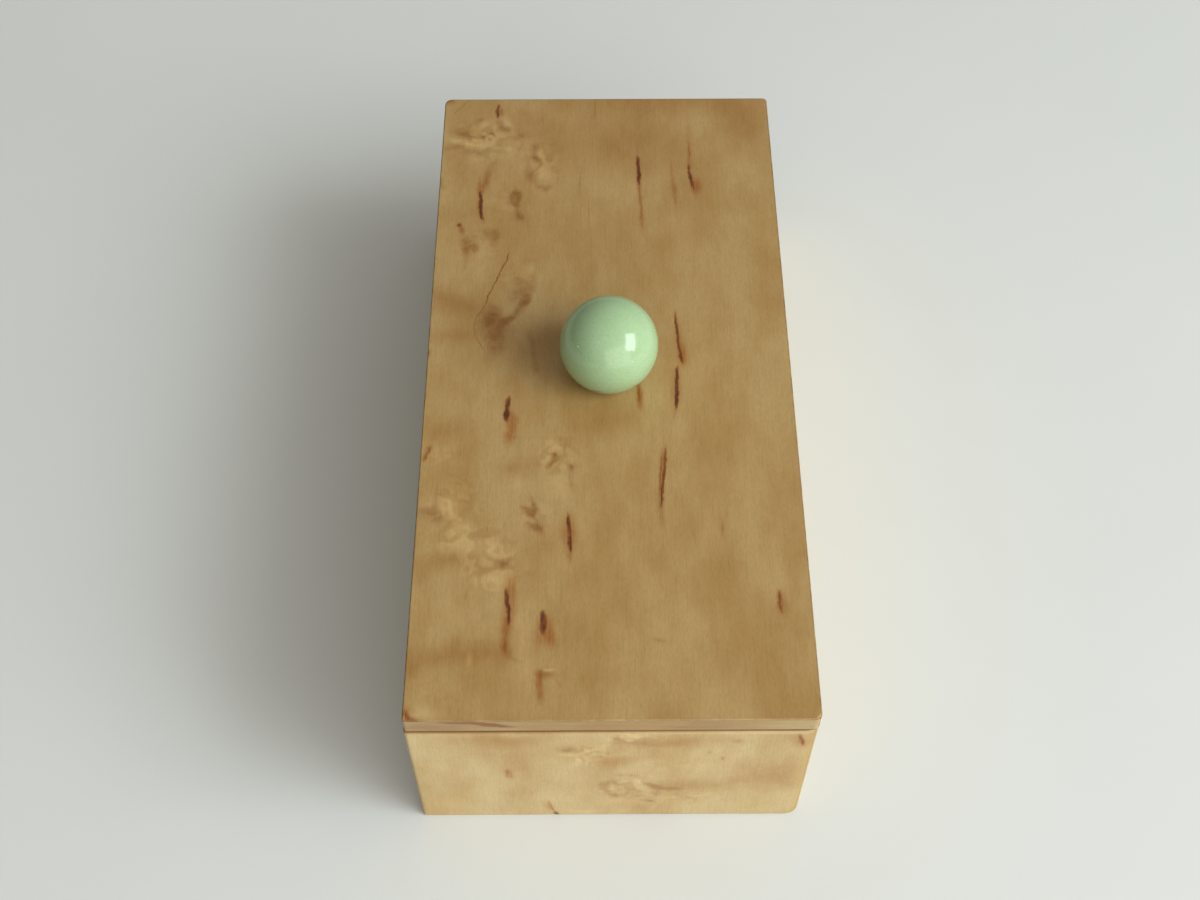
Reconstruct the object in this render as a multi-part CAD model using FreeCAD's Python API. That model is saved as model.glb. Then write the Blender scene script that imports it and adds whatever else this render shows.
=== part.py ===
"""A long wooden box for papers and keepsakes, with a flat lid that lifts straight off by a ball knob.

Four mitred masur birch walls stand round a plywood bottom. The lid is a veneered board with solid
birch lippings round its edge, and a mitred frame of strips under it drops inside the walls.

Millimetres. X runs across the box, Y along it with the front at -Y, and Z up. The origin is under
the middle of the box, on the surface that it stands on.
"""

import FreeCAD
import Part
import os

Vector = FreeCAD.Vector

# Walls
body_width = 120.0
body_length = 251.0
body_height = 63.6
wall_thickness = 8.0
wall_arris = 0.8

# Upright corners of the walls, rounded by hand and so not quite alike
front_left_radius = 1.5
front_right_radius = 4.5
rear_left_radius = 3.0
rear_right_radius = 2.0

# Bottom panel, held in a groove round the walls
bottom_thickness = 4.0
bottom_lift = 3.0
groove_depth = 4.0
groove_play = 0.1
panel_end_gap = 0.3

# Loose tongues hidden in the mitred corners
tongue_thickness = 2.0
tongue_width = 8.0
tongue_inset = 2.2
tongue_above_groove = 3.0
tongue_below_rim = 8.0
tongue_end_gap = 0.3

# Lid board, a little smaller all round than the walls that it lies on
lid_inset = 0.4
core_thickness = 6.0
veneer_thickness = 0.7
lipping_width = 4.0
lid_arris = 0.4

# Upright corners of the lid, rounded apart from the walls and mostly less
lid_front_left_radius = 1.0
lid_front_right_radius = 2.0
lid_rear_left_radius = 2.6
lid_rear_right_radius = 1.6

# Locating strips under the lid
strip_width = 6.0
strip_height = 5.0
strip_clearance = 0.6
strip_lead = 0.8

# Ball knob
knob_diameter = 31.75
knob_flat_depth = 4.0
knob_pilot_spare = 1.5

# Countersunk screw that holds the knob from below
screw_length = 25.0
screw_head_diameter = 8.4
screw_head_rim = 0.3
screw_head_cone = 1.9
screw_shank_diameter = 4.2
screw_core_diameter = 3.0
screw_thread_length = 14.0
screw_thread_pitch = 1.75
screw_point_length = 3.0
screw_slot_width = 1.2
screw_slot_depth = 1.1
screw_sink = 0.2
screw_hole_clearance = 0.2

# Places worked out from the sizes above
inner_width = body_width - 2 * wall_thickness
inner_length = body_length - 2 * wall_thickness
groove_height = bottom_thickness + groove_play
lid_width = body_width - 2 * lid_inset
lid_length = body_length - 2 * lid_inset
core_bottom = body_height + veneer_thickness
core_top = core_bottom + core_thickness
lid_top = core_top + veneer_thickness
knob_radius = knob_diameter / 2
knob_centre = lid_top + knob_radius - knob_flat_depth
screw_face = body_height + screw_sink

# Each corner's name, and its side in X and in Y
corners = (
    ("front_left", -1, -1),
    ("front_right", 1, -1),
    ("rear_right", 1, 1),
    ("rear_left", -1, 1),
)

# The rounding of the corners, in the order of the list above
wall_radii = (front_left_radius, front_right_radius, rear_right_radius, rear_left_radius)
lid_radii = (lid_front_left_radius, lid_front_right_radius, lid_rear_right_radius, lid_rear_left_radius)

# The four sides, each running from the corner of the same place in the list above to the next
sides = ("front", "right", "rear", "left")

# How near two heights are when they are taken as the same
level = 1e-6


def centred_box(width, length, bottom, height):
    """A block centred on the Z axis, with its lower face at the height given."""
    return Part.makeBox(width, length, height, Vector(-width / 2, -length / 2, bottom))


def centred_cylinder(diameter, bottom, height):
    """A cylinder on the Z axis, with its lower face at the height given."""
    return Part.makeCylinder(diameter / 2, height, Vector(0, 0, bottom))


def upright_edge(block, x_side, y_side):
    """The upright edge at one corner of a block."""
    middle = block.BoundBox.Center
    for edge in block.Edges:
        box = edge.BoundBox
        offset = box.Center - middle
        if box.ZLength > level and offset.x * x_side > 0 and offset.y * y_side > 0:
            return edge


def rounded_block(width, length, bottom, height, radii):
    """A block whose upright corners are each rounded by a radius of their own."""
    block = centred_box(width, length, bottom, height)
    for (_, x_side, y_side), radius in zip(corners, radii):
        block = block.makeFillet(radius, [upright_edge(block, x_side, y_side)])
    return block


def edges_at(solid, height):
    """The edges of a solid that lie at one height."""
    return [
        edge
        for edge in solid.Edges
        if abs(edge.BoundBox.ZMin - height) < level and abs(edge.BoundBox.ZMax - height) < level
    ]


def mitred_sides(ring, width, length, bar, bottom, height):
    """The four mitred bars of a rectangular ring, by side."""
    outer = []
    inner = []
    for _, x_side, y_side in corners:
        outer.append(Vector(x_side * width / 2, y_side * length / 2, bottom))
        inner.append(Vector(x_side * (width / 2 - bar), y_side * (length / 2 - bar), bottom))
    bars = {}
    for start, side in enumerate(sides):
        end = (start + 1) % len(sides)
        plan = [outer[start], outer[end], inner[end], inner[start], outer[start]]
        stick = Part.Face(Part.makePolygon(plan)).extrude(Vector(0, 0, height))
        bars[side] = ring.common(stick)
    return bars


def tongue(x_side, y_side, end_gap):
    """The loose tongue across one corner's mitre, or its slot if there is a gap at its ends."""
    width = tongue_width + 2 * end_gap
    bottom = bottom_lift + groove_height + tongue_above_groove - end_gap
    top = body_height - tongue_below_rim + end_gap
    blade = Part.makeBox(tongue_thickness, width, top - bottom, Vector(tongue_inset, -width / 2, bottom))
    outward = Vector(x_side, y_side, 0)
    blade.Placement = FreeCAD.Placement(
        Vector(x_side * inner_width / 2, y_side * inner_length / 2, 0),
        FreeCAD.Rotation(Vector(1, 0, 0), outward),
    )
    return blade


def walls():
    """The four mitred walls, by side, grooved for the bottom and slotted for the tongues."""
    ring = rounded_block(body_width, body_length, 0, body_height, wall_radii)
    ring = ring.cut(centred_box(inner_width, inner_length, 0, body_height))
    ring = ring.makeFillet(wall_arris, edges_at(ring, 0) + edges_at(ring, body_height))
    reach = 2 * groove_depth
    ring = ring.cut(centred_box(inner_width + reach, inner_length + reach, bottom_lift, groove_height))
    for _, x_side, y_side in corners:
        ring = ring.cut(tongue(x_side, y_side, tongue_end_gap))
    return mitred_sides(ring, body_width, body_length, wall_thickness, 0, body_height)


def bottom_panel():
    """The plywood bottom, a little smaller than the groove that holds it."""
    reach = 2 * (groove_depth - panel_end_gap)
    return centred_box(inner_width + reach, inner_length + reach, bottom_lift, bottom_thickness)


def screw_blank():
    """The screw before its slot is cut, turned from half of its section."""
    shank = screw_shank_diameter / 2
    core = screw_core_diameter / 2
    head = screw_head_diameter / 2
    thread_start = screw_length - screw_point_length - screw_thread_length
    section = [(0, 0), (head, 0), (head, screw_head_rim), (shank, screw_head_rim + screw_head_cone)]
    section.append((shank, thread_start))
    for ring in range(round(screw_thread_length / screw_thread_pitch)):
        crest = thread_start + ring * screw_thread_pitch
        section.append((core, crest + screw_thread_pitch / 2))
        section.append((shank, crest + screw_thread_pitch))
    section.append((0, screw_length))
    points = [Vector(radius, 0, screw_face + height) for radius, height in section]
    face = Part.Face(Part.makePolygon(points + points[:1]))
    return face.revolve(Vector(0, 0, 0), Vector(0, 0, 1), 360)


def screw():
    """The slotted countersunk screw, its head just inside the lid's lower face."""
    slot = centred_box(2 * screw_head_diameter, screw_slot_width, screw_face, screw_slot_depth)
    return screw_blank().cut(slot)


def screw_hole():
    """What is drilled and countersunk out of the lid board for the screw."""
    drill = centred_cylinder(screw_shank_diameter + 2 * screw_hole_clearance, body_height, lid_top - body_height)
    well = centred_cylinder(screw_head_diameter, body_height, screw_sink + screw_head_rim)
    cone_base = Vector(0, 0, screw_face + screw_head_rim)
    cone = Part.makeCone(screw_head_diameter / 2, screw_shank_diameter / 2, screw_head_cone, cone_base)
    return drill.fuse([well, cone])


def knob():
    """The ball, cut flat where it sits on the lid and bored where the screw bites."""
    ball = Part.makeSphere(knob_radius, Vector(0, 0, knob_centre))
    above_lid = centred_box(2 * knob_diameter, 2 * knob_diameter, lid_top, knob_diameter)
    pilot_depth = screw_face + screw_length + knob_pilot_spare - lid_top
    pilot = centred_cylinder(screw_core_diameter, lid_top, pilot_depth)
    return ball.common(above_lid).cut(screw_blank()).cut(pilot)


def veneer(bottom, outer_face):
    """A veneer as large as the lid, its arris softened round its outer face."""
    sheet = rounded_block(lid_width, lid_length, bottom, veneer_thickness, lid_radii)
    return sheet.makeFillet(lid_arris, edges_at(sheet, outer_face)).cut(screw_hole())


def lippings():
    """The lid's four solid edges, by side, mitred round the core."""
    ring = rounded_block(lid_width, lid_length, core_bottom, core_thickness, lid_radii).cut(core_block())
    return mitred_sides(ring, lid_width, lid_length, lipping_width, core_bottom, core_thickness)


def core_block():
    """The board inside the lippings, before it is drilled."""
    around = 2 * lipping_width
    return centred_box(lid_width - around, lid_length - around, core_bottom, core_thickness)


def locating_strips():
    """The mitred strips under the lid, by side, their lower outer edge eased to enter the walls."""
    width = inner_width - 2 * strip_clearance
    length = inner_length - 2 * strip_clearance
    bottom = body_height - strip_height
    block = centred_box(width, length, bottom, strip_height)
    block = block.makeChamfer(strip_lead, edges_at(block, bottom))
    hollow = centred_box(width - 2 * strip_width, length - 2 * strip_width, bottom, strip_height)
    return mitred_sides(block.cut(hollow), width, length, strip_width, bottom, strip_height)


def pieces():
    """Every piece of the box, by name."""
    named = {side + "_wall": wall for side, wall in walls().items()}
    for corner, x_side, y_side in corners:
        named[corner + "_tongue"] = tongue(x_side, y_side, 0)
    named["bottom_panel"] = bottom_panel()
    named["lid_core"] = core_block().cut(screw_hole())
    named["lid_top_veneer"] = veneer(core_top, lid_top)
    named["lid_under_veneer"] = veneer(body_height, body_height)
    for side, lipping in lippings().items():
        named["lid_" + side + "_lipping"] = lipping
    for side, strip in locating_strips().items():
        named[side + "_locating_strip"] = strip
    named["knob_ball"] = knob()
    named["knob_screw"] = screw()
    return named


os.makedirs("parts", exist_ok=True)
for name, shape in pieces().items():
    print(f"{name}: {len(shape.Solids)} solid, {shape.Volume / 1000:.2f} cm3, valid {shape.isValid()}")
    shape.exportStep("parts/" + name + ".step")
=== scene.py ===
import math
import random

import bmesh
import bpy
from mathutils import Matrix, Vector


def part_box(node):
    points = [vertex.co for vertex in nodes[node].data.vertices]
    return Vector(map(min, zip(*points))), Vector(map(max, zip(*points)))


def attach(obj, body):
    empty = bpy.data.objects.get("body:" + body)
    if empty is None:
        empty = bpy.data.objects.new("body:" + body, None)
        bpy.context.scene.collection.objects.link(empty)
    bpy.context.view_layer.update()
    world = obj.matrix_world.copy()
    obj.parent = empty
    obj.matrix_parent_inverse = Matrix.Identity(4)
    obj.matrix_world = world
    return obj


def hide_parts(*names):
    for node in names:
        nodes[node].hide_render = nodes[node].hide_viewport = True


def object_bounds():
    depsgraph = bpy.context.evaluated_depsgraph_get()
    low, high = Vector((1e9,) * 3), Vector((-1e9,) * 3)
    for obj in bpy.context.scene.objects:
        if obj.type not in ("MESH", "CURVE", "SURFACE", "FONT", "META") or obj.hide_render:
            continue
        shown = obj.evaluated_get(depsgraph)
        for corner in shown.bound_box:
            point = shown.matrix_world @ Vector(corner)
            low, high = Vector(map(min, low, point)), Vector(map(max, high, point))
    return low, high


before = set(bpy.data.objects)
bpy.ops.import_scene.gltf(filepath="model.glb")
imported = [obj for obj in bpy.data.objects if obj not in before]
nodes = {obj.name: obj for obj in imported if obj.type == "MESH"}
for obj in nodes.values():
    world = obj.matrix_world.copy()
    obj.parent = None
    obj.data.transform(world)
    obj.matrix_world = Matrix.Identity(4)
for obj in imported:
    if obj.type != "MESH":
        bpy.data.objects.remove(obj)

cad_low, cad_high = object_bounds()
mm = 0.001


# Bottom panel
# A sheet of birch plywood in a groove round the walls. Its faces are rotary cut, so their figure is
# broad and quiet, and they were left with one thin coat of lacquer.

def linear(colour):
    """The linear colour of an sRGB hex value."""
    channels = [int(colour[start : start + 2], 16) / 255 for start in (1, 3, 5)]
    return [c / 12.92 if c <= 0.04045 else ((c + 0.055) / 1.055) ** 2.4 for c in channels] + [1.0]


def add(tree, kind, inputs, **settings):
    """Adds a node with its settings. An input takes a value, a socket or another node's output."""
    node = tree.nodes.new("ShaderNode" + kind)
    for name, value in settings.items():
        setattr(node, name, value)
    for key, value in inputs.items():
        if isinstance(value, bpy.types.Node):
            value = next(socket for socket in value.outputs if socket.enabled)
        if isinstance(value, bpy.types.NodeSocket):
            tree.links.new(value, node.inputs[key])
        else:
            node.inputs[key].default_value = value
    return node


def stretched(tree, place, size, **longer):
    """Noise of one size in metres, made longer along the axes that are named."""
    scale = [1 / longer.get(axis, size) for axis in "xyz"]
    at = add(tree, "Mapping", {"Vector": place, "Scale": scale})
    return add(tree, "TexNoise", {"Vector": at, "Scale": 1.0, "Detail": 3.0, "Roughness": 0.6})


def coat(name, colour, **settings):
    """A new finish of one colour, with constants set on its shader by the names of their sockets."""
    material = bpy.data.materials.new(name)
    material.use_nodes = True
    tree = material.node_tree
    shader = tree.nodes["Principled BSDF"]
    for socket, value in settings.items():
        shader.inputs[socket].default_value = value
    place = add(tree, "TexCoord", {}).outputs["Object"]
    tone = linear(colour)
    return {"material": material, "tree": tree, "shader": shader, "place": place, "tone": tone}


def tint(finish, colour, *patterns, blend="MULTIPLY"):
    """Blends a colour over a finish's tone so far, by the product of the patterns.

    A pattern is an amount from 0 to 1. Or it is a value, the two values between which the amount
    comes in smoothly and, where these aren't 0 and 1, the two amounts that it goes between.
    """
    tree = finish["tree"]
    amount = 1.0
    for pattern in patterns:
        if isinstance(pattern, tuple):
            value, low, high, start, end = (*pattern, 0.0, 1.0)[:5]
            limits = {"Value": value, "From Min": low, "From Max": high, "To Min": start, "To Max": end}
            pattern = add(tree, "MapRange", limits, interpolation_type="SMOOTHSTEP")
        amount = add(tree, "Math", {0: amount, 1: pattern}, operation="MULTIPLY", use_clamp=True)
    inputs = {0: amount, 6: finish["tone"], 7: linear(colour)}
    finish["tone"] = add(tree, "Mix", inputs, data_type="RGBA", blend_type=blend)


def dress(finish, *pieces):
    """Gives a finish's last tone to its shader, and the finish to the pieces."""
    tone = next(socket for socket in finish["tone"].outputs if socket.enabled)
    finish["tree"].links.new(tone, finish["shader"].inputs["Base Color"])
    for piece in pieces:
        piece.data.materials.clear()
        piece.data.materials.append(finish["material"])


def birch(name, pale, deep, grain, roughness):
    """Birch with its fibres along one axis: x, y or z. Returns the finish that a figure is built on.

    Lacquered birch shows slow cloudy changes of tone, fine short fibres and a soft sheen. Its real
    fibres and pores are about 0.1 mm wide. They are drawn three or four times as wide, so that
    they show.
    """
    cloud_width, cloud_length = 16 * mm, 34 * mm
    fibre_width, fibre_length = 0.4 * mm, 9 * mm
    pore_width, pore_length = 0.3 * mm, 1.6 * mm

    wood = coat(name, pale, Roughness=roughness, IOR=1.5)
    tree = wood["tree"]
    cloud = stretched(tree, wood["place"], cloud_width, **{grain: cloud_length})
    tint(wood, deep, (cloud, 0.3, 0.7), blend="MIX")
    fibre = stretched(tree, wood["place"], fibre_width, **{grain: fibre_length})
    tint(wood, "#b0936a", (fibre, 0.4, 0.85, 0.0, 0.22))
    pore = stretched(tree, wood["place"], pore_width, **{grain: pore_length})
    tint(wood, "#d8c6a8", (pore, 0.36, 0.7, 0.0, 0.3))
    bump = add(tree, "Bump", {"Height": fibre, "Strength": 0.2, "Distance": 0.02 * mm})
    tree.links.new(bump.outputs["Normal"], wood["shader"].inputs["Normal"])
    wood["fibre"] = fibre
    return wood


# Birch plywood under thin lacquer: pale and even, with a dull sheen
plywood = birch("birch_plywood_thin_lacquer", "#dcc7a0", "#cfb286", "y", 0.5)
dress(plywood, nodes["bottom_panel"])


# Loose tongues
# Four thin slips of beech glued across the mitres. They are hidden once the walls are together.

# Sawn beech: pinkish brown with short dark rays, and no shine
beech = birch("beech_sawn", "#c9a27c", "#b98d66", "z", 0.65)
ray = stretched(beech["tree"], beech["place"], 0.5 * mm, z=2.5 * mm)
tint(beech, "#8a5d3c", (ray, 0.6, 0.7, 0.0, 0.6))
dress(beech, *[nodes[name] for name in nodes if name.endswith("_tongue")])


# Walls
# Four boards of masur birch, a birch whose grain is broken by brown flecks and curls. They are
# mitred, glued, rounded at the corners and finished with a satin lacquer.

def warped(tree, place, size, reach):
    """A place moved about by noise of one size, so that what is drawn there has ragged edges."""
    noise = add(tree, "TexNoise", {"Vector": place, "Scale": 1 / size, "Detail": 2.0})
    grey = (0.5, 0.5, 0.5)
    centred = add(tree, "VectorMath", {0: noise.outputs["Color"], 1: grey}, operation="SUBTRACT")
    moved = add(tree, "VectorMath", {0: centred, 1: (reach, reach, reach)}, operation="MULTIPLY")
    return add(tree, "VectorMath", {0: place, 1: moved}, operation="ADD")


def spots(tree, place, marks):
    """The sum of soft ellipsoids. Each has a centre and half sizes in mm, a turn and a strength."""
    total = 0.0
    for centre, half, turn, strength in marks:
        local = {
            "Vector": place,
            "Location": [c * mm for c in centre],
            "Rotation": [math.radians(t) for t in turn],
            "Scale": [h * mm for h in half],
        }
        at = add(tree, "Mapping", local, vector_type="TEXTURE")
        spot = add(tree, "TexGradient", {"Vector": at}, gradient_type="SPHERICAL").outputs["Fac"]
        total = add(tree, "Math", {0: spot, 1: strength, 2: total}, operation="MULTIPLY_ADD")
    return total


def masur(wood, bands, curly, pales, browns, halos, flecks):
    """Adds masur birch's figure to birch.

    It has slow warm bands, curly parts with pale worms of grain, pale and brown smudges, orange
    stains, and dark flecks that follow the fibres.
    """
    tree = wood["tree"]
    place = wood["place"]

    # Bands with soft edges
    tint(wood, "#e4cba6", spots(tree, warped(tree, place, 14 * mm, 8 * mm), bands))

    # Worms: a slow noise folded many times over, pale on its crests and darker in its hollows
    worm_size = 6 * mm
    worm_folds = 19.0
    curly_place = warped(tree, place, 8 * mm, 4 * mm)
    strong = {0: spots(tree, curly_place, curly), 1: 1.6}
    curled = add(tree, "Math", strong, operation="MULTIPLY", use_clamp=True)
    slow = add(tree, "TexNoise", {"Vector": curly_place, "Scale": 1 / worm_size, "Detail": 1.2})
    folded = add(tree, "Math", {0: slow, 1: worm_folds}, operation="MULTIPLY")
    wave = add(tree, "Math", {0: folded}, operation="SINE")
    tint(wood, "#6a5434", (wave, -0.8, 1.0, 0.0, 0.5), curled, blend="SCREEN")
    tint(wood, "#e0c9aa", (wave, -1.0, 0.8, 0.4, 0.0), curled)

    # Pale smudges, and brown ones that are cloudy inside and darkest where they are strong
    pale = spots(tree, warped(tree, place, 4 * mm, 2.6 * mm), pales)
    tint(wood, "#7a6440", (pale, 0.0, 0.9, 0.0, 0.95), blend="SCREEN")
    clouds = {"From Min": 0.3, "From Max": 0.7, "To Min": 0.75, "To Max": 1.15}
    mottle = {"Value": stretched(tree, place, 2.4 * mm), **clouds}
    cloudy = add(tree, "MapRange", mottle, interpolation_type="SMOOTHSTEP")
    brown = spots(tree, warped(tree, place, 3.5 * mm, 2.2 * mm), browns)
    brown = add(tree, "Math", {0: brown, 1: cloudy}, operation="MULTIPLY")
    tint(wood, "#d0b28c", (brown, 0.0, 1.0))
    tint(wood, "#c8a67c", (brown, 0.8, 1.8, 0.0, 0.8))

    # Orange stains, then flecks with an orange rim and a dark heart, all frayed along the fibres
    threads = {"From Min": 0.3, "From Max": 0.7, "To Min": 1.3, "To Max": 0.6}
    fray = {"Value": wood["fibre"], **threads}
    frayed = add(tree, "MapRange", fray, interpolation_type="SMOOTHSTEP")
    ragged = warped(tree, place, 1.6 * mm, 1.0 * mm)
    halo = add(tree, "Math", {0: spots(tree, ragged, halos), 1: frayed}, operation="MULTIPLY")
    tint(wood, "#e4b988", (halo, 0.0, 0.9))
    fleck = add(tree, "Math", {0: spots(tree, ragged, flecks), 1: frayed}, operation="MULTIPLY")
    tint(wood, "#cf9f70", (fleck, 0.0, 0.9))
    tint(wood, "#4e2813", (fleck, 0.45, 1.7, 0.0, 0.95), blend="MIX")


def stroke(points, width, strength):
    """Flat marks along a line of points in mm: each two places, two half sizes, lean and strength."""
    marks = []
    for (x0, y0), (x1, y1) in zip(points, points[1:]):
        reach = math.hypot(x1 - x0, y1 - y0)
        lean = math.degrees(math.atan2(x1 - x0, y1 - y0))
        marks.append(((x0 + x1) / 2, (y0 + y1) / 2, width, 0.9 * reach, lean, strength))
    return marks


def on_front(marks):
    """Flat marks laid on the front wall, as x, z, half width, half height, lean and strength."""
    deep = 6
    return [
        ((x, front, z), (width, deep, height), (0, lean, 0), strength)
        for x, z, width, height, lean, strength in marks
    ]


def off_middle(wood):
    """How far a place lies from the box's upright axis, across the box and along it."""
    apart = add(wood["tree"], "VectorMath", {0: wood["place"]}, operation="ABSOLUTE")
    parts = add(wood["tree"], "SeparateXYZ", {"Vector": apart})
    return parts.outputs["X"], parts.outputs["Y"]


def past_outline(wood, reach):
    """How far a place lies past the outline of walls or lid, in metres. It is negative inside."""
    tree = wood["tree"]
    off_x, off_y = off_middle(wood)
    past_x = add(tree, "Math", {0: off_x, 1: reach.x}, operation="SUBTRACT")
    past_y = add(tree, "Math", {0: off_y, 1: reach.y}, operation="SUBTRACT")
    return add(tree, "Math", {0: past_x, 1: past_y}, operation="MAXIMUM")


def mitre_line(wood, reach):
    """Darkens the hairline of glue in the mitres of a frame that reaches so far in X and Y.

    The real hairline is about 0.1 mm wide. It is drawn about three times as wide, so that it shows.
    """
    tree = wood["tree"]
    off_x, off_y = off_middle(wood)
    across = add(tree, "Math", {0: off_x, 1: off_y}, operation="SUBTRACT")
    off = add(tree, "Math", {0: across, 1: reach.y - reach.x}, operation="ADD")
    near = add(tree, "Math", {0: off}, operation="ABSOLUTE")
    tint(wood, "#a07c54", (near, 0.1 * mm, 0.25 * mm, 0.7, 0.0))


# The marks of the front wall, from the left to the right and up from the table
front = cad_low.y / mm
front_bands = on_front([
    (-33, 58, 20, 6, 0, 0.8),
    (-32, 48, 14, 16, 0, 0.55),
    (-27, 38, 11, 13, 0, 0.35),
    (-30, 22, 7, 11, 0, 0.3),
    (-4, 38, 7, 9, 0, 0.5),
    *stroke([(-4, 41), (4, 45), (14, 47.5)], 6, 0.8),
    (14, 54.5, 18, 7, 0, 0.75),
    (20, 57, 14, 6, 0, 0.4),
    (48, 36, 20, 12, 0, 0.6),
    (52, 26, 16, 9, 0, 0.5),
    *stroke([(12, 21), (26, 24), (40, 26)], 8, 0.55),
    (34, 57, 8, 5, 0, 0.3),
    (8, 6, 5, 7, 0, 0.35),
])
front_curly = on_front([
    (6, 23, 12, 13, 0, 1.0),
    (-6, 48, 11, 9, 0, 0.8),
    (5, 59, 9, 6, 0, 0.8),
    (24, 15, 14, 7, 0, 0.5),
])
front_pales = on_front([
    *stroke([(-1.5, 55), (-4.5, 51.5), (-8, 49.5), (-10, 47)], 2.0, 1.1),
    *stroke([(-15, 47.5), (-10.5, 47.5), (-10, 44), (-10.5, 39.5)], 1.8, 1.1),
    *stroke([(-7, 44.5), (-7.5, 40)], 1.3, 0.7),
    *stroke([(-3, 50), (-2, 46)], 1.3, 0.6),
    *stroke([(2.5, 62), (5, 58), (7.5, 61)], 2.0, 0.8),
    *stroke([(-2, 56), (0.5, 60.5)], 1.2, 0.5),
    (5, 61.5, 7, 3.5, 0, 0.7),
    (-50, 9, 16, 14, 0, 0.65),
    (50, 14, 12, 9, 0, 0.3),
    (-16, 57, 7, 5, 0, 0.4),
    (0.7, 23, 1.4, 3, 0, 1.1),
    (8, 28, 2.2, 4, 0, 0.7),
    (8.5, 22, 2.6, 3, 0, 0.5),
    (2, 12, 8, 5, 0, 0.6),
    (-9, 3, 9, 3.5, 0, 0.9),
    (17, 15, 4, 5, 0, 0.5),
    (27, 15, 3.4, 5, -20, 0.6),
    *stroke([(14, 9), (12.5, 3)], 1.4, 0.6),
    (15, 37, 3, 3, 0, 0.5),
    (20, 39.5, 4, 2, 0, 0.4),
    (28, 39, 14, 6, -15, 0.35),
    (-17, 14, 10, 10, 0, 0.3),
])
front_browns = on_front([
    (-12.5, 51.5, 5.5, 3.4, 0, 0.75),
    *stroke([(0.5, 61), (1.5, 58), (3.5, 54)], 3.0, 0.55),
    (9, 56, 6, 5, 0, 0.5),
    *stroke([(-0.5, 29), (-2.4, 25), (-1.8, 20), (0, 16.5), (2, 14.5)], 2.9, 0.55),
    *stroke([(0.2, 28), (1.8, 25), (1.6, 20)], 2.0, 0.35),
    *stroke([(1, 32), (4.5, 32.5), (8, 31)], 2.8, 0.42),
    *stroke([(5.5, 30), (6.5, 26)], 1.8, 0.3),
    *stroke([(4, 18), (8, 16), (11, 18)], 1.8, 0.25),
    *stroke([(10.5, 27), (12.5, 24), (17, 21.5), (22, 21)], 2.8, 0.6),
    *stroke([(13, 23.5), (14.6, 19), (13, 16)], 2.2, 0.4),
    *stroke([(9, 12.4), (12.2, 12.4), (13.5, 11.2)], 1.6, 0.65),
    *stroke([(-6, 47), (-4, 45)], 1.6, 0.3),
    (36.4, 57, 2.6, 2.6, 0, 0.45),
])
front_halos = on_front([
    (-31, 33.5, 3.4, 7, 0, 0.5),
    (-20, 8, 2.8, 8, -12, 0.6),
    (54.5, 57, 4.2, 8, -15, 0.75),
    (36.4, 57, 3, 3, 0, 0.5),
    (33, 44.6, 1.2, 2.6, -10, 0.6),
    (28.7, 49, 1.2, 2.4, 0, 0.5),
])
front_flecks = on_front([
    *stroke([(-31.4, 37.5), (-31, 34), (-30.7, 30)], 2.1, 0.6),
    *stroke([(-19.5, 13), (-19.3, 9), (-18.3, 5), (-17.3, 1)], 0.9, 0.55),
    (-17.4, 1.4, 1.3, 2.4, -15, 1.4),
    *stroke([(53.8, 61.5), (54.7, 58), (55.9, 54)], 1.0, 1.0),
])

# The sides and the back are out of the photograph's view, so their marks are strewn by chance:
# bands, curly parts with pale and brown smudges in them, and flecks with their stains
chance = random.Random(7)
side_reach = cad_high.x / mm
length_reach = cad_high.y / mm
other_bands = []
other_curly = []
other_pales = []
other_browns = []
other_halos = []
other_flecks = []
for side in (-side_reach, side_reach):
    for _ in range(7):
        spot = (side, chance.uniform(-110, 110), chance.uniform(8, 56))
        other_bands.append((spot, (6, chance.uniform(16, 30), chance.uniform(4, 8)), (0, 0, 0), 0.55))
    for _ in range(4):
        y = chance.uniform(-100, 100)
        z = chance.uniform(12, 50)
        other_curly.append(((side, y, z), (6, 14, 11), (0, 0, 0), 1.0))
        for _ in range(4):
            spot = (side, y + chance.uniform(-11, 11), z + chance.uniform(-9, 9))
            half = (5, chance.uniform(3, 6), 2.4)
            other_pales.append((spot, half, (chance.uniform(-60, 60), 0, 0), 0.7))
            spot = (side, y + chance.uniform(-9, 9), z + chance.uniform(-7, 7))
            half = (5, chance.uniform(3, 5), 2.6)
            other_browns.append((spot, half, (chance.uniform(-60, 60), 0, 0), 0.5))
    for _ in range(9):
        spot = (side, chance.uniform(-118, 118), chance.uniform(6, 60))
        lean = chance.uniform(-12, 12)
        long = chance.uniform(3, 6)
        other_halos.append((spot, (5, 2.6, 1.5 * long), (lean, 0, 0), 0.6))
        half = (4, chance.uniform(0.8, 1.2), long)
        other_flecks.append((spot, half, (lean, 0, 0), chance.uniform(0.7, 1.6)))
for _ in range(4):
    spot = (chance.uniform(-40, 40), length_reach, chance.uniform(8, 56))
    other_bands.append((spot, (chance.uniform(16, 28), 6, chance.uniform(4, 8)), (0, 0, 0), 0.5))
for _ in range(5):
    spot = (chance.uniform(-50, 50), length_reach, chance.uniform(8, 58))
    long = chance.uniform(3, 6)
    other_halos.append((spot, (2.6, 5, 1.5 * long), (0, 0, 0), 0.6))
    half = (chance.uniform(0.8, 1.2), 4, long)
    other_flecks.append((spot, half, (0, 0, 0), chance.uniform(0.7, 1.6)))
rear_curls = ((-22, 38), (26, 24))
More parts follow.
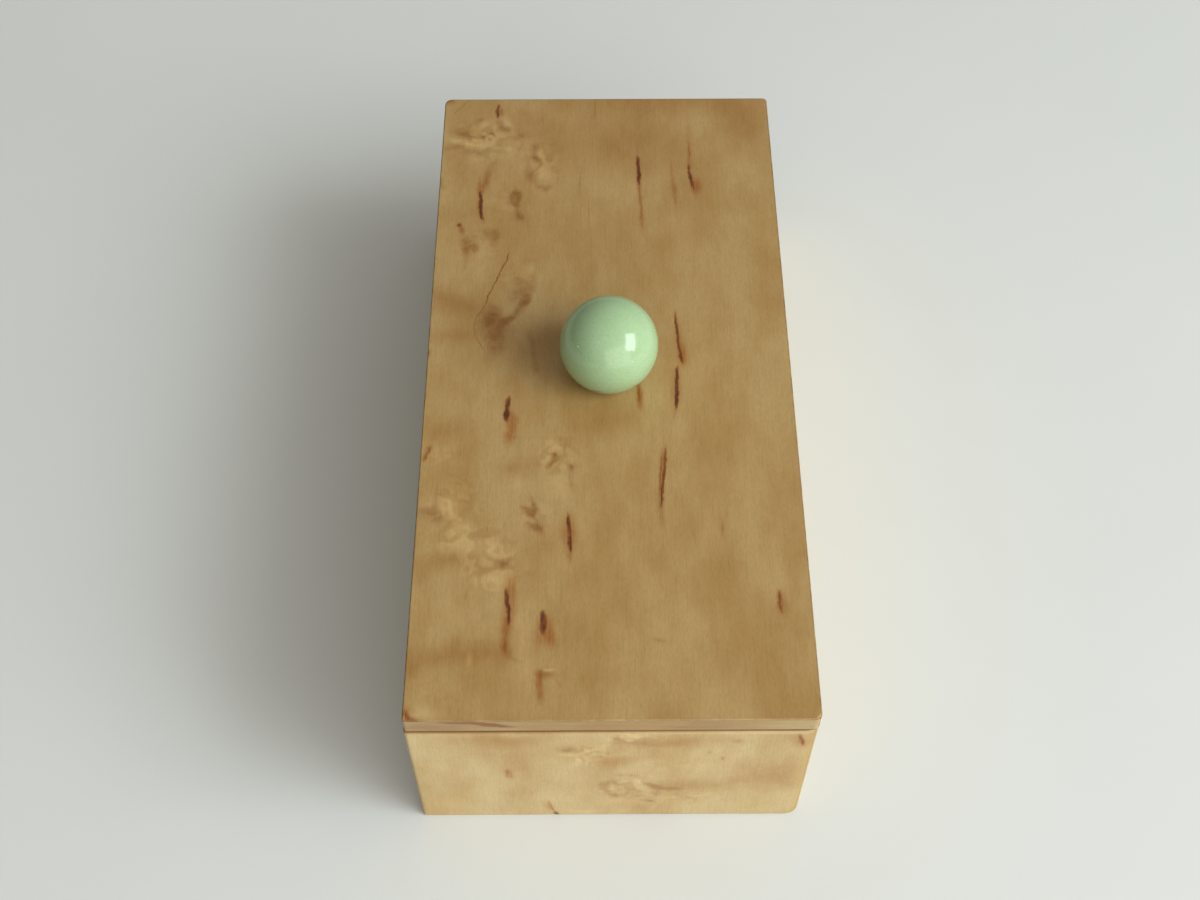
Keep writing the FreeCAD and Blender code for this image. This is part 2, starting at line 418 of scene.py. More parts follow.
for x, z in rear_curls:
    other_curly.append(((x, length_reach, z), (13, 6, 12), (0, 0, 0), 1.0))
    for _ in range(4):
        spot = (x + chance.uniform(-9, 9), length_reach, z + chance.uniform(-8, 8))
        half = (2.4, 5, chance.uniform(3, 6))
        other_pales.append((spot, half, (0, chance.uniform(-60, 60), 0), 0.7))
        spot = (x + chance.uniform(-9, 9), length_reach, z + chance.uniform(-8, 8))
        half = (2.6, 5, chance.uniform(3, 5))
        other_browns.append((spot, half, (0, chance.uniform(-60, 60), 0), 0.5))

# Masur birch under satin lacquer: honey coloured clouds, dark flecks and a soft sheen
wall_wood = birch("masur_birch_walls_satin_lacquer", "#cdb583", "#be9f67", "z", 0.5)
masur(
    wall_wood,
    front_bands + other_bands,
    front_curly + other_curly,
    front_pales + other_pales,
    front_browns + other_browns,
    front_halos + other_halos,
    front_flecks + other_flecks,
)
tree = wall_wood["tree"]
wall_place = add(tree, "SeparateXYZ", {"Vector": wall_wood["place"]})
wall_x, wall_y, wall_z = wall_place.outputs
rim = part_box("front_wall")[1].z

# Below the rim a pale band, part worn lacquer and part painted sheen, stronger towards the right where
# the light falls
worn_and_sheen_band = (wall_z, rim - 2.4 * mm, rim - 0.9 * mm)
tint(wall_wood, "#ddcba0", worn_and_sheen_band, (wall_x, -20 * mm, 50 * mm, 0.0, 0.35), blend="MIX")

# The near right corner is painted a little darker and duller, as shade, so that the light from the
# right doesn't brighten it
shaded_corner_x = (wall_x, cad_high.x - 5 * mm, cad_high.x - 1.5 * mm)
shaded_corner_y = (wall_y, cad_low.y + 5 * mm, cad_low.y + 1 * mm)
tint(wall_wood, "#e2dcbc", shaded_corner_x, shaded_corner_y)

# The upper arris is painted darker, as shade away from the light on the right, most on the left
shaded_arris = (wall_z, rim - 0.9 * mm, rim - 0.5 * mm)
tint(wall_wood, "#dcc8a8", shaded_arris, (wall_x, -30 * mm, 40 * mm, 0.9, 0.4))
# Dirt and painted shade of the seam under the lid lie on the rim's outermost 1.6 mm
seam_dirt_and_shade = (wall_z, rim - 0.32 * mm, rim - 0.12 * mm, 0.0, 0.85)
tint(wall_wood, "#94704e", seam_dirt_and_shade, (past_outline(wall_wood, cad_high), -1.6 * mm, 0.0))
mitre_line(wall_wood, cad_high)
dress(wall_wood, *[nodes[side + "_wall"] for side in ("front", "right", "rear", "left")])


# Lid core
# A plain board inside the lid, hidden between the veneers and the lippings.

# Sawn board: straw coloured, with long darker streaks and no shine
core_board = birch("plain_board_sawn", "#cbb083", "#bb9c6c", "y", 0.6)
dark_grain = stretched(core_board["tree"], core_board["place"], 9 * mm, y=60 * mm)
tint(core_board, "#b78d58", (dark_grain, 0.5, 0.65, 0.0, 0.5))
dress(core_board, nodes["lid_core"])


# Lid lippings
# Straight-grained birch round the lid's edge, mitred at the corners and planed flush with the
# veneers. The front one has a slanted reddish streak.

lid_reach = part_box("lid_under_veneer")[1]
streak_heart = [
    ((-35, front, 68.3), (9, 4, 1.6), (0, 14, 0), 1.3),
    ((-44, front, 69.6), (9, 4, 1.2), (0, 5, 0), 0.7),
]
streak_round = [
    ((-52, front, 67), (26, 4, 7), (0, 0, 0), 0.6),
    ((-24, front, 66.5), (9, 4, 1.2), (0, 5, 0), 0.35),
]
warm_middle = [((4, front, 67), (52, 4, 20), (0, 0, 0), 0.7)]

for sides, grain in ((("front", "rear"), "x"), (("left", "right"), "y")):
    # Straight birch under satin lacquer: fine lines along the edge and a soft sheen
    lipping = birch("birch_lipping_satin_lacquer_" + grain, "#b69e6b", "#ab8d5d", grain, 0.42)
    tree = lipping["tree"]
    line = stretched(tree, lipping["place"], 0.9 * mm, **{grain: 40 * mm})
    tint(lipping, "#c79c74", (line, 0.5, 0.75, 0.0, 0.4))
    wavy = warped(tree, lipping["place"], 2 * mm, 1.2 * mm)
    reddish = spots(tree, wavy, streak_heart + streak_round)
    tint(lipping, "#b87450", (reddish, 0.0, 0.9, 0.0, 0.65))
    tint(lipping, "#f6dfa8", (spots(tree, wavy, streak_heart), 0.0, 0.8))
    tint(lipping, "#e2c496", spots(tree, lipping["place"], warm_middle))
    mitre_line(lipping, lid_reach)
    dress(lipping, *[nodes["lid_" + side + "_lipping"] for side in sides])


# Under veneer
# Plain birch glued under the lid, so that the board is balanced and stays flat. Its cut edge is
# painted dark, for the dirt and the shade of the seam, which draws a thin dark line round the lid.

# Plain birch veneer under thin lacquer: pale and quiet, nearly dull
under = birch("plain_birch_veneer_thin_lacquer", "#d8bd90", "#cbab7b", "y", 0.5)
# Painted shade and dirt of the seam along the cut edge
tint(under, "#8a6648", (past_outline(under, lid_reach), -0.5 * mm, 0.0, 0.0, 0.9))
dress(under, nodes["lid_under_veneer"])


# Top veneer
# One sheet of masur birch with its grain along the lid, satin lacquered. It carries dark flecks,
# brown curls and pale blisters, a hairline crack on the left, and a chip at the near right corner.
# In front of the knob a painted shadow and a painted reflection of the ball lie on it too.

top_low, top_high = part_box("lid_top_veneer")
lid_plane = top_high.z / mm


def on_lid(marks):
    """Flat marks laid on the lid, as x, y, half width, half length, lean and strength."""
    deep = 50
    return [
        ((x, y, lid_plane), (width, length, deep), (0, 0, -lean), strength)
        for x, y, width, length, lean, strength in marks
    ]


lid_bands_and_ball_shadow = on_lid([
    (20, 127, 60, 14, 0, 0.7),
    (0, 103, 38, 24, 0, 0.7),
    (50, 112, 14, 24, 0, 0.55),
    (-32, 115, 9, 7, 0, 0.5),
    (-16, 96, 8, 20, 0, 0.3),
    *stroke([(-60, 30), (-50, 28), (-42, 26)], 7, 0.6),
    (-52, 13, 14, 5, 0, 0.45),
    (-52, -24, 13, 6, 0, 0.5),
    *stroke([(-60, -76), (-52, -73), (-43, -72)], 6, 0.7),
    *stroke([(-60, -107), (-50, -105), (-40, -103), (-30, -104)], 6, 0.7),
    (-30, -40, 9, 6, 0, 0.4),
    (-50, 66, 20, 8, 0, 0.3),
    (-22, -66, 14, 7, 0, 0.3),
    (-42, 88, 16, 6, 0, 0.3),
    (-26, 12, 16, 12, 0, 0.4),
    (-14, -100, 14, 14, 0, 0.35),
    (45, -110, 40, 16, 0, 0.08),
    (30, 40, 18, 60, 0, 0.2),
    (-6, -113, 30, 7, 0, 0.25),
    # Painted shadow of the ball on the lid, in front of the knob
    (-1, -20, 17, 10, 0, 0.5),
])
lid_curly = on_lid([
    (-44, 104, 17, 13, 0, 1.0),
    (-24, 92, 9, 14, 0, 0.7),
    (-34, 74, 9, 12, 0, 0.4),
    (-45, 53, 11, 10, 0, 0.5),
    (-30, 38, 10, 12, 0, 0.4),
    (-49, -53, 11, 11, 0, 1.0),
    (-43, -66, 14, 8, 0, 1.0),
    (-35, -76, 13, 9, 0, 0.9),
    (-16, -36, 8, 12, 0, 0.9),
    (-23, -57, 8, 9, 0, 0.6),
    (-52, -34, 8, 8, 0, 0.4),
    (-18, -112, 8, 8, 0, 0.2),
    (-52, -119, 12, 7, 0, 0.25),
])
lid_pales_and_ball_reflection = on_lid([
    *stroke([(-57, 104.5), (-53, 102.7), (-48, 102), (-45, 104)], 2.6, 0.8),
    (-45, 111.5, 5, 6, 0, 0.5),
    (-36, 112, 3, 6, -20, 0.7),
    (-35, 101, 9, 8, 0, 0.5),
    (-46, 101, 4.5, 4, 0, 0.6),
    (-24, 97, 4, 5, 0, 0.4),
    (-22.5, 87, 5, 7, 0, 0.6),
    (-52, -34, 8, 9, 0, 0.45),
    (-49, -53.5, 6, 8, 0, 0.9),
    (-46, -61, 4, 4, 0, 0.8),
    (-17.3, -30.5, 4, 4, 0, 0.8),
    (-19.5, -35.5, 2.4, 4, 0, 0.5),
    (-28.5, -45, 4, 6, 0, 0.45),
    (-15.5, -46, 7, 9, 0, 0.5),
    (-45, -66, 9, 7, 0, 0.6),
    (-36, -69, 8, 6, 0, 0.6),
    (-35, -80, 10, 6, 0, 0.6),
    (-26, -95, 4, 14, 0, 0.35),
    (-24.5, -110, 5, 13, 0, 0.35),
    (-54, -123, 9, 4, 0, 0.6),
    (-48, -90, 12, 9, 0, 0.25),
    (-41.3, -106, 1.4, 4, 0, 0.6),
    *stroke([(-19.5, -109.2), (-16.5, -109.2)], 1.0, 0.9),
    # Painted reflection of the ball's highlight on the lid, in front of the knob
    (4, -36, 12, 14, 0, 0.3),
])
lid_browns = on_lid([
    *stroke([(-40.2, 114), (-38.8, 111), (-37.3, 108.8), (-35, 107.8)], 3.2, 0.6),
    *stroke([(-47.3, 111), (-46.5, 114.3), (-44.2, 114.3)], 2.0, 0.55),
    (-52.3, 106.8, 7, 4.6, 0, 0.65),
    *stroke([(-46.5, 106.5), (-44.7, 104.8), (-43.2, 106.4), (-41.5, 107.7), (-40.2, 105)], 1.2, 0.6),
    *stroke([(-60, 100.5), (-52, 99.3), (-43, 97.6)], 4.4, 0.45),
    (-31, 106, 5.5, 4.2, 0, 0.55),
    *stroke([(-30.8, 102), (-31.6, 98)], 1.1, 0.6),
    *stroke([(-25.6, 102), (-26.2, 98), (-26, 95), (-24, 92.5)], 2.4, 0.7),
    (-27, 85.5, 4, 5.5, 0, 0.75),
    *stroke([(-25, 81), (-23, 79.2), (-20.8, 79), (-19.6, 81.5)], 2.4, 0.55),
    *stroke([(-42.5, 86), (-41.6, 91), (-39.3, 94)], 1.8, 0.4),
    *stroke([(-32.8, 79.2), (-34, 76), (-33.8, 73), (-32.3, 71)], 1.6, 0.4),
    *stroke([(-32.6, 79.4), (-31.2, 77), (-31.2, 74), (-32.2, 71)], 2.0, 0.5),
    (-32, 75.5, 3.2, 5.5, 0, 0.5),
    *stroke([(-32.2, 71), (-31.2, 68), (-30.4, 65.3)], 2.4, 0.5),
    (-30.5, 65.4, 4.8, 3.6, 0, 0.45),
    (-59.5, 83, 2, 3, 0, 0.7),
    (-58.3, 80.5, 2, 2, 0, 0.5),
    *stroke([(-51, 61), (-50.2, 58.6)], 1.7, 0.6),
    (-40.7, 58.4, 6.5, 3.8, 0, 0.7),
    *stroke([(-38.4, 59), (-39.4, 53)], 2.2, 0.4),
    *stroke([(-49.8, 56.5), (-49, 51), (-47.9, 46)], 2.2, 0.55),
    (-47, 53.3, 5.6, 6, 0, 0.75),
    *stroke([(-46, 52.5), (-45.4, 48.5)], 2.0, 0.3),
    *stroke([(-48.9, 46), (-49.3, 41.5)], 1.8, 0.45),
    (-27, 46, 5, 3, 0, 0.4),
    (-29.6, 32.5, 7, 11, 8, 0.5),
    (-31.8, 29, 4, 8, 20, 0.2),
    *stroke([(-24.3, 41), (-26.6, 34), (-27.8, 28)], 3.0, 0.35),
    *stroke([(-27, 30), (-29, 25.5), (-32, 21), (-36, 18)], 2.4, 0.75),
    (-39.6, 18.6, 6.5, 9.5, 0, 0.85),
    (-38.3, 23, 4, 6, 0, 0.45),
    (-36, 15, 6.5, 10, 0, 0.45),
    (-37.5, 7.5, 5, 9, 0, 0.5),
    *stroke([(-26, 15), (-24.8, 9), (-24.3, 2), (-23.5, -3)], 2.3, 0.5),
    *stroke([(-29, 10), (-27.4, 2)], 2.2, 0.3),
    (-59.6, 6, 1.4, 3, 0, 0.8),
    *stroke([(-16.8, -33.6), (-17.8, -37), (-19.2, -39.8)], 2.0, 0.95),
    *stroke([(-14, -36.5), (-12.3, -39.5), (-12.8, -43), (-11.5, -48)], 1.8, 0.45),
    (-11.4, -39.5, 2.4, 2.6, 0, 0.5),
    *stroke([(-27.6, -53.6), (-25, -55.6), (-23.5, -58)], 2.3, 0.75),
    *stroke([(-25.8, -59.3), (-23, -61.5), (-20.3, -63.8)], 2.1, 0.7),
    *stroke([(-24.4, -49.5), (-23.7, -53), (-22, -56.5)], 1.6, 0.65),
    *stroke([(-23.5, -56.5), (-21.3, -61.5)], 1.4, 0.6),
    (-31, -39, 4, 3.6, 0, 0.4),
    *stroke([(-58.5, -55), (-54, -57), (-50, -59)], 4.2, 0.55),
    *stroke([(-53.6, -45.5), (-53.6, -54)], 1.6, 0.45),
    *stroke([(-34, -74.6), (-30, -73)], 2.8, 0.75),
    (-30, -67, 3.6, 2.4, 0, 0.4),
    (-42.8, -84.5, 1.4, 4.6, 0, 0.4),
    *stroke([(-30, -105.3), (-26.5, -106.8)], 1.5, 0.4),
    (-58, -109, 4, 4.6, 0, 0.4),
    *stroke([(-21.4, -110.3), (-16, -111)], 2.2, 0.4),
    *stroke([(-21, -110), (-20.8, -114), (-20.2, -120)], 2.2, 0.32),
    (-56.5, -80, 4, 6, 0, 0.4),
])
lid_halos = on_lid([
    (-39.8, 119, 2.4, 6, 3, 0.5),
    (-38.5, 118, 1.6, 3.6, 0, 0.5),
    *stroke([(-45.5, 85), (-44.9, 77.5)], 1.5, 0.6),
    *stroke([(-42.4, 87), (-43.5, 79.5)], 2.1, 0.95),
    *stroke([(-45.2, 80), (-45, 71), (-43.6, 64)], 2.6, 0.55),
    *stroke([(-51.4, 63), (-50.2, 58)], 1.8, 0.7),
    (11.4, 88, 2, 12, 0, 0.5),
    *stroke([(11.4, 83), (11.8, 73), (12.3, 60)], 1.6, 0.6),
    (31.9, 80.5, 3, 6, 5, 0.95),
    (30, 98, 2.4, 22, 0, 0.55),
    (23.8, 80, 2, 14, -4, 0.6),
    (23.4, 12, 2.2, 14, -4, 0.6),
    (24.6, 4.4, 3.2, 7, -4, 0.7),
    (21.8, -10, 2.8, 13, 3, 0.75),
    (-32.6, -17, 2.4, 7, 2, 0.6),
    *stroke([(-30.8, -18.5), (-31, -24), (-32, -30)], 3.0, 1.0),
    (9.8, -12, 2.2, 9, -3, 0.8),
    *stroke([(17.2, -32), (16.3, -43), (15.6, -55)], 1.9, 0.75),
    (16, -59, 1.6, 5, 0, 0.5),
    (-12.5, -63, 3.6, 11, -3, 0.95),
    (-12.4, -72, 1.6, 4, -3, 0.5),
    *stroke([(-56.5, -30.5), (-57.3, -33.5), (-58.6, -37)], 1.7, 0.8),
    *stroke([(-29.9, -78), (-29.7, -86), (-30.4, -95)], 3.4, 0.75),
    *stroke([(-30.6, -94), (-31.2, -101), (-30, -105.5)], 2.4, 0.75),
    *stroke([(-19.6, -91), (-18.4, -97), (-17.6, -102)], 3.2, 0.8),
    *stroke([(-21.2, -94), (-21.6, -104)], 2.2, 0.6),
    *stroke([(-21.2, -109), (-20.8, -114), (-20.3, -119.5)], 2.2, 0.7),
    *stroke([(-21.4, -110.5), (-16, -111)], 1.8, 0.45),
    (34.3, -61.5, 1.6, 6, 3, 0.4),
    (50.6, -88, 2.6, 7, -2, 0.7),
    (14, -100, 5, 2, 20, 0.35),
    (-58.6, -122.6, 3.6, 4, 0, 0.7),
    (-58, 124, 4.6, 3.6, 0, 0.8),
])
lid_flecks = on_lid([
    *stroke([(-39.8, 122), (-40.3, 119), (-39.8, 115.3)], 0.9, 1.15),
    (-39.9, 117.3, 0.9, 2.4, 0, 0.6),
    *stroke([(-44.9, 78), (-44.4, 74), (-44.6, 70.5), (-43.9, 66)], 1.0, 1.9),
    *stroke([(-43.9, 66.5), (-43.1, 63.5)], 0.9, 0.6),
    *stroke([(-43, 84), (-43.6, 80)], 1.0, 0.45),
    (-51.7, 62.4, 1.2, 1.6, 0, 1.5),
    *stroke([(11.2, 94.5), (11.3, 90), (11.6, 86), (11.3, 82)], 0.9, 1.5),
    (11.5, 86, 1.1, 3, 0, 0.6),
    *stroke([(11.2, 102), (11.2, 94)], 0.8, 0.3),
    *stroke([(11.4, 82), (11.8, 73), (12.2, 60)], 0.8, 0.42),
    *stroke([(29.6, 91), (29.5, 87), (29.9, 84), (30.6, 79.8)], 1.0, 1.2),
    (30, 85.2, 1.2, 3, -10, 0.8),
    *stroke([(29.9, 102), (29.7, 91)], 0.8, 0.42),
    *stroke([(30.1, 119), (29.9, 102)], 0.7, 0.22),
    *stroke([(31, 80), (31.6, 74.5)], 0.9, 0.4),
    *stroke([(23.2, 93), (23.3, 86), (24, 79), (24.2, 69)], 0.8, 0.34),
    *stroke([(-9.4, 88), (-10, 75)], 0.6, 0.4),
    *stroke([(-6.5, 75), (-6.5, 60)], 0.5, 0.38),
    *stroke([(-4.2, 124), (-4, 112)], 0.6, 0.42),
    *stroke([(-24, 124), (-23, 110)], 0.6, 0.36),
    *stroke([(43.5, 124), (44, 115)], 0.6, 0.36),
    *stroke([(22.4, 22.5), (22.8, 15), (23.2, 8), (24, 2.5)], 0.75, 1.2),
    (23.8, 3.4, 0.9, 2.6, -8, 0.6),
    *stroke([(22.4, -0.5), (22.1, -6), (21.9, -11), (21.5, -16)], 0.95, 1.6),
    (21.7, -12.5, 1.1, 4, 2, 0.6),
    *stroke([(21.4, -16), (20.7, -21.5)], 1.0, 0.4),
    *stroke([(-32.3, -12), (-32.6, -16), (-32.9, -21)], 1.1, 1.7),
    (-33, -18.7, 1.5, 2.9, 0, 1.2),
    *stroke([(9.8, -5), (9.9, -15)], 1.0, 0.7),
    *stroke([(17.7, -32.5), (17.2, -40), (16.4, -47), (15.7, -54)], 0.7, 1.35),
    *stroke([(16.6, -34), (15.9, -42), (15.2, -51)], 0.6, 0.55),
    *stroke([(-12.9, -56.5), (-12.7, -60.5), (-12.2, -64.5), (-12.3, -67), (-12.1, -70)], 0.95, 1.35),
    (-12.7, -60.2, 1.0, 2.4, 0, 0.5),
    (-12.1, -67.5, 1.0, 2.4, 0, 0.5),
    *stroke([(-56.7, -31), (-57.3, -33.5), (-58.4, -36.5)], 1.0, 0.5),
    *stroke([(-31.1, -82.8), (-30.8, -87), (-30.2, -90), (-30.2, -94)], 1.0, 1.75),
    *stroke([(-31, -98.5), (-31.1, -103.5)], 1.3, 0.42),
    *stroke([(-20.2, -90.3), (-19.9, -93), (-20.2, -97.3)], 1.3, 2.0),
    (34.3, -61.5, 0.8, 4.4, 3, 0.35),
    (35.5, -74, 0.8, 5, 0, 0.25),
    (40.5, 17, 0.8, 4, 0, 0.25),
    *stroke([(49.9, -83.8), (49.8, -87.5), (50.1, -91)], 0.95, 0.9),
    (14, -100, 3.4, 1, 20, 0.3),
    *stroke([(-59.3, -122), (-57.6, -124.4), (-54.5, -125)], 1.4, 0.8),
    (-58.9, 124.6, 2.4, 2.2, 0, 0.9),
    *stroke([(-51.3, 124.2), (-53.5, 120.5), (-56.2, 117.3)], 0.5, 0.5),
])
# The hairline crack, which fades past its bend
crack_top = [(-34, 49.5), (-34.5, 46), (-36, 43), (-38, 37), (-40, 31.5), (-41, 27.5)]
crack_end = [
    (-41, 27.5), (-42.5, 24), (-44.2, 20.5), (-44.7, 17.5), (-44.2, 13.5), (-42.5, 10), (-41, 7),
]
lid_flecks += on_lid(stroke(crack_top, 0.5, 0.95) + stroke(crack_end, 0.45, 0.6))

# Masur birch veneer under satin lacquer: brown gold, cloudy and flecked, with a soft sheen
veneer = birch("masur_birch_veneer_satin_lacquer", "#b69761", "#a9854c", "y", 0.42)
masur(veneer, lid_bands_and_ball_shadow, lid_curly, lid_pales_and_ball_reflection, lid_browns, lid_halos, lid_flecks)

# Its cut edge is browned in places, less at the front
tree = veneer["tree"]
cut_edge = (past_outline(veneer, top_high), -0.7 * mm, 0.0)
in_places = (stretched(tree, veneer["place"], 3 * mm), 0.35, 0.65, 0.3, 0.75)
veneer_y = add(tree, "SeparateXYZ", {"Vector": veneer["place"]}).outputs["Y"]
off_front = (veneer_y, top_low.y + 0.3 * mm, top_low.y + 1.2 * mm, 0.5, 1.0)
tint(veneer, "#6e4a2c", cut_edge, in_places, off_front)

# Its arris and the rounding of its corners, by their sides in X and Y, are those of the lid. The
# chip at the near right corner is given by how far in from the corner it reaches across and along.
arris = 0.4 * mm
arris_steps = 3
corner_steps = 7
corner_radii = {(-1, -1): 1.0 * mm, (1, -1): 2.0 * mm, (1, 1): 1.6 * mm, (-1, 1): 2.6 * mm}
chipped_corner = (1, -1)
chip = [(1.6, 0.0), (1.2, 0.35), (0.95, 0.8), (0.5, 1.0), (0.35, 1.5), (0.0, 1.7)]


def veneer_outline(inset):
    """The veneer's outline, from its near left corner round to the right, set in by an amount."""
    points = []
    for (x_side, y_side), radius in corner_radii.items():
        corner = Vector((x_side * top_high.x, y_side * top_high.y))
        if (x_side, y_side) == chipped_corner:
            points += [corner + Vector((-x * mm - inset, y * mm + inset)) for x, y in chip]
            continue
        middle = corner - Vector((x_side * radius, y_side * radius))
        start = math.atan2(y_side, x_side) - math.pi / 4
        for step in range(corner_steps + 1):
            angle = start + math.pi / 2 * step / corner_steps
            points.append(middle + (radius - inset) * Vector((math.cos(angle), math.sin(angle))))
    return points


def placed(name, data):
    """A new object of the scene under a name."""
    thing = bpy.data.objects.new(name, data)
    bpy.context.scene.collection.objects.link(thing)
    return thing


rings = [(0.0, top_low.z), (0.0, top_high.z - arris)]
for step in range(1, arris_steps + 1):
    angle = math.pi / 2 * step / arris_steps
    rings.append((arris * (1 - math.cos(angle)), top_high.z - arris * (1 - math.sin(angle))))
mesh = bmesh.new()
loops = []
for inset, z in rings:
    loops.append([mesh.verts.new((point.x, point.y, z)) for point in veneer_outline(inset)])
for lower, upper in zip(loops, loops[1:]):
    for index in range(len(lower)):
        after = (index + 1) % len(lower)
        mesh.faces.new((lower[index], lower[after], upper[after], upper[index]))
mesh.faces.new(loops[-1])
mesh.faces.new(reversed(loops[0]))
for face in mesh.faces:
    face.smooth = len(face.verts) == 4
data = bpy.data.meshes.new("lid_figured_veneer")
mesh.to_mesh(data)
mesh.free()
figured = placed("lid_figured_veneer", data)
dress(veneer, figured)
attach(figured, "lid")
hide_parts("lid_top_veneer")


# Locating strips
# Plain birch glued under the lid with mitred corners. They drop inside the walls and hold the lid in
# place.

strip_reach = Vector((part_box("right_locating_strip")[1].x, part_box("rear_locating_strip")[1].y, 0))

for sides, grain in ((("front", "rear"), "x"), (("left", "right"), "y")):
    # Plain birch under thin lacquer: pale, straight and nearly dull
    strip = birch("plain_birch_strip_thin_lacquer_" + grain, "#dcc298", "#cfb081", grain, 0.5)
    mitre_line(strip, strip_reach)
    dress(strip, *[nodes[side + "_locating_strip"] for side in sides])


# Knob screw
# A slotted countersunk wood screw of zinc plated steel, driven up through the lid into the ball.

# Zinc plated steel: a grey metal, cloudy and half bright
zinc = coat("zinc_plated_steel", "#b9b6ae", Metallic=1.0)
dull = stretched(zinc["tree"], zinc["place"], 1.5 * mm)
tint(zinc, "#8f8b80", dull, blend="MIX")
rough = add(zinc["tree"], "MapRange", {"Value": dull, "To Min": 0.28, "To Max": 0.5})
zinc["tree"].links.new(rough.outputs["Result"], zinc["shader"].inputs["Roughness"])
dress(zinc, nodes["knob_screw"])


# Ball knob
# A turned wooden ball, sprayed with gloss mint green enamel and screwed to the lid on its own flat.
# The film has a few specks of dust in it, and a small dull grey-green mark low on its front.

ball_low, ball_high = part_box("knob_ball")
radius = (ball_high.x - ball_low.x) / 2
centre = Vector((0, 0, ball_high.z - radius))

# Gloss enamel: an even mint green with sharp highlights, very slightly rippled
enamel = coat("mint_green_gloss_enamel", "#a6c296", Roughness=0.13, IOR=1.55)
tree = enamel["tree"]
place = enamel["place"]
tint(enamel, "#9dbb8c", stretched(tree, place, 8 * mm), blend="MIX")
tint(enamel, "#dfe6d2", (stretched(tree, place, 0.7 * mm), 0.4, 0.7, 0.0, 0.35))
low_mark_spots = [((-3.9, -14.0, 76.9), (2.6, 2.0, 1.4), (0, 0, 0), 1.2)]
low_dull_mark = spots(tree, warped(tree, place, 1.5 * mm, 1.2 * mm), low_mark_spots)
tint(enamel, "#8d9d8a", (low_dull_mark, 0.0, 0.8, 0.0, 0.65))
specks = [
    ((-9.75, -8.1, 92.4), (0.35, 0.35, 0.35), (0, 0, 0), 1.6),
    ((7.4, -12.2, 89.8), (0.22, 0.22, 0.22), (0, 0, 0), 1.0),
    ((-3.1, -9.0, 95.6), (0.2, 0.2, 0.2), (0, 0, 0), 0.9),
]
tint(enamel, "#e9f2e4", spots(tree, place, specks), blend="MIX")
ripple = stretched(tree, place, 2.5 * mm)
bump = add(tree, "Bump", {"Height": ripple, "Strength": 0.12, "Distance": 0.05 * mm})
tree.links.new(bump.outputs["Normal"], enamel["shader"].inputs["Normal"])

# The ball's outline from the middle of its flat up to its top, turned once round
turn_steps = 96
outline_steps = 40
hair = 0.001 * mm
flat_angle = math.acos((centre.z - ball_low.z) / radius)
profile = [Vector((0, 0, ball_low.z))]
for step in range(outline_steps + 1):
    angle = flat_angle + (math.pi - flat_angle) * step / outline_steps
    profile.append(Vector((radius * math.sin(angle), 0, centre.z - radius * math.cos(angle))))
mesh = bmesh.new()
line = [mesh.verts.new(point) for point in profile]
edges = [mesh.edges.new(pair) for pair in zip(line, line[1:])]
once_round = {"cent": (0, 0, 0), "axis": (0, 0, 1), "angle": 2 * math.pi, "steps": turn_steps}
bmesh.ops.spin(mesh, geom=line + edges, **once_round)
bmesh.ops.remove_doubles(mesh, verts=mesh.verts, dist=hair)
bmesh.ops.recalc_face_normals(mesh, faces=mesh.faces)
for face in mesh.faces:
    face.smooth = face.calc_center_median().z > ball_low.z + hair
data = bpy.data.meshes.new("knob_enamelled_ball")
mesh.to_mesh(data)
mesh.free()
ball = placed("knob_enamelled_ball", data)
dress(enamel, ball)
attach(ball, "lid")
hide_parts("knob_ball")


# Stage
# A plain pale matt floor in a pale room. A soft window high on the right gives the ball its
# highlight, and two softer lights, from the right and from the front, fill the shadows.

floor_reach = 3.0
floor_data = bpy.data.meshes.new("floor")
floor_sides = ((-1, -1), (1, -1), (1, 1), (-1, 1))
floor_corners = [(x * floor_reach, y * floor_reach, 0) for x, y in floor_sides]
floor_data.from_pydata(floor_corners, [], [(0, 1, 2, 3)])
floor = placed("floor", floor_data)

# Matt paint: pale, a little uneven, with no shine
floor_paint = coat("pale_matt_floor", "#dddfdb", Roughness=0.7)
uneven = stretched(floor_paint["tree"], floor_paint["place"], 120 * mm)
tint(floor_paint, "#d8dad6", uneven, blend="MIX")
dress(floor_paint, floor)

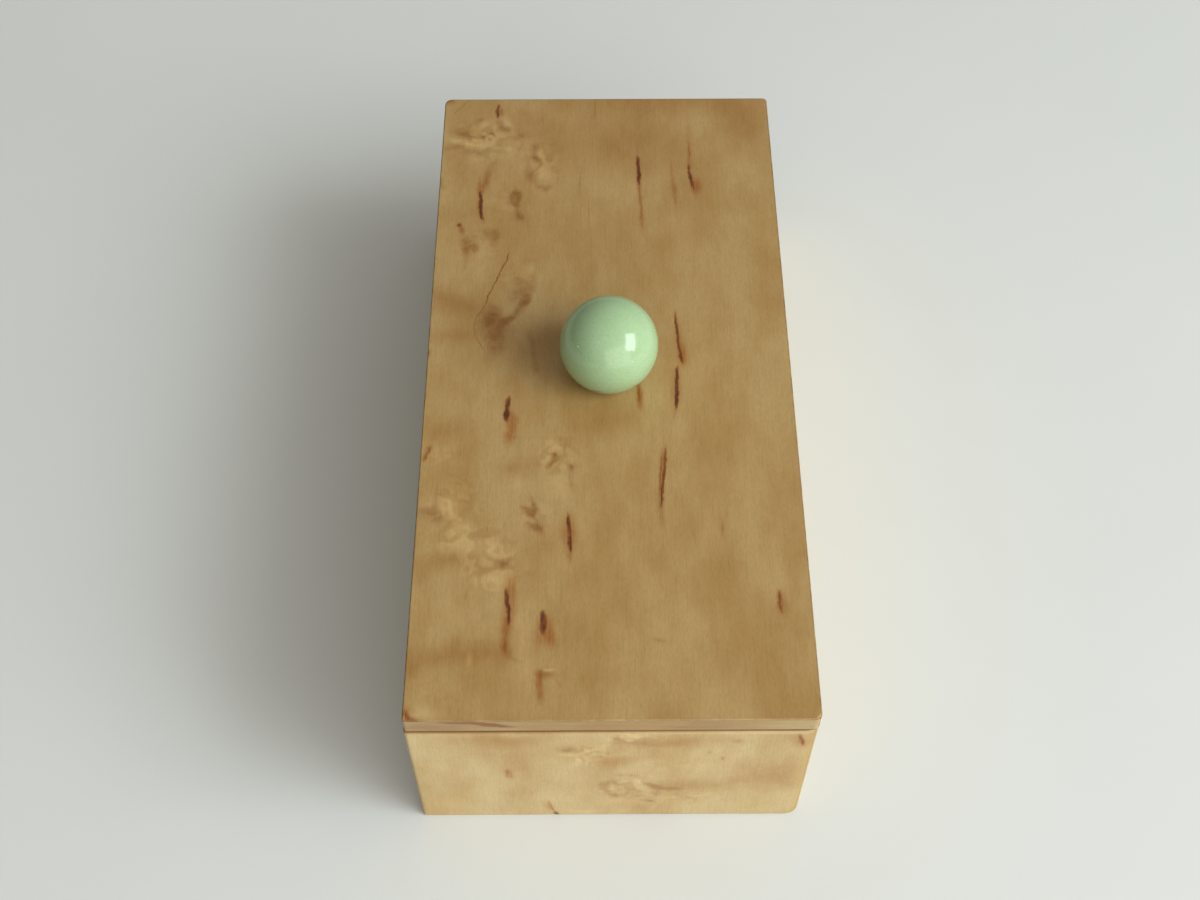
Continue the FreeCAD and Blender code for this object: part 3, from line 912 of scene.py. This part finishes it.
# The room is brightest high on the right, and dim low on the left
room = bpy.data.worlds.new("pale_room")
bpy.context.scene.world = room
room.use_nodes = True
tree = room.node_tree
background = tree.nodes["Background"]
background.inputs["Color"].default_value = linear("#fefbf3")
bright_side = (0.6, 0.0, 0.8)
sky = add(tree, "TexCoord", {}).outputs["Generated"]
aim = add(tree, "VectorMath", {0: sky, 1: bright_side}, operation="DOT_PRODUCT").outputs["Value"]
limits = {"Value": aim, "From Min": -0.6, "From Max": 0.8, "To Min": 0.04, "To Max": 0.47}
glow = add(tree, "MapRange", limits)
tree.links.new(glow.outputs["Result"], background.inputs["Strength"])


def soft_light(name, place, width, power):
    """A soft light at a place in metres, turned to the floor's middle, with its power in watts."""
    data = bpy.data.lights.new(name, "AREA")
    data.size = width
    data.energy = power
    light = placed(name, data)
    light.location = place
    light.rotation_mode = "QUATERNION"
    light.rotation_quaternion = place.to_track_quat("Z", "Y")
    return light


# The window is turned to the ball, with its long side upright in the ball's highlight
window_from = Vector((0.78, -0.32, 0.54)).normalized()
window_distance = 3.0
ball_height = 0.07
upright = Vector((0, 0.82, 0.57))
window = soft_light("window", window_from * window_distance + Vector((0, 0, ball_height)), 1.3, 56)
window.data.shape = "RECTANGLE"
window.data.size_y = 1.9
window.data.color = linear("#f0faff")[:3]
long_side = window_from.cross(upright).cross(window_from).normalized()
window_axes = Matrix((long_side.cross(window_from), long_side, window_from))
window.rotation_quaternion = window_axes.transposed().to_quaternion()

# The light from the right is kept out of reflections, so that the ball shows the window alone
right_light = soft_light("soft_light_from_the_right", Vector((2.0, -0.9, 1.45)), 2.5, 25)
right_light.visible_glossy = False
soft_light("bright_side_of_the_room", Vector((0.4, -1.0, 0.34)), 1.2, 6.6)

# The camera looks down on the box from before it
camera_place = Vector((-4.02, -312.53, 482.34)) * mm
look_down = math.radians(55.783)
turn = -0.00364
roll = -0.00149
camera_data = bpy.data.cameras.new("camera")
camera_data.sensor_width = 36
camera_data.lens = 47.33
camera = placed("camera", camera_data)
camera.matrix_world = (
    Matrix.Translation(camera_place)
    @ Matrix.Rotation(turn, 4, "Z")
    @ Matrix.Rotation(math.pi / 2 - look_down, 4, "X")
    @ Matrix.Rotation(roll, 4, "Z")
)
bpy.context.scene.camera = camera
bpy.context.scene.view_settings.view_transform = "Standard"
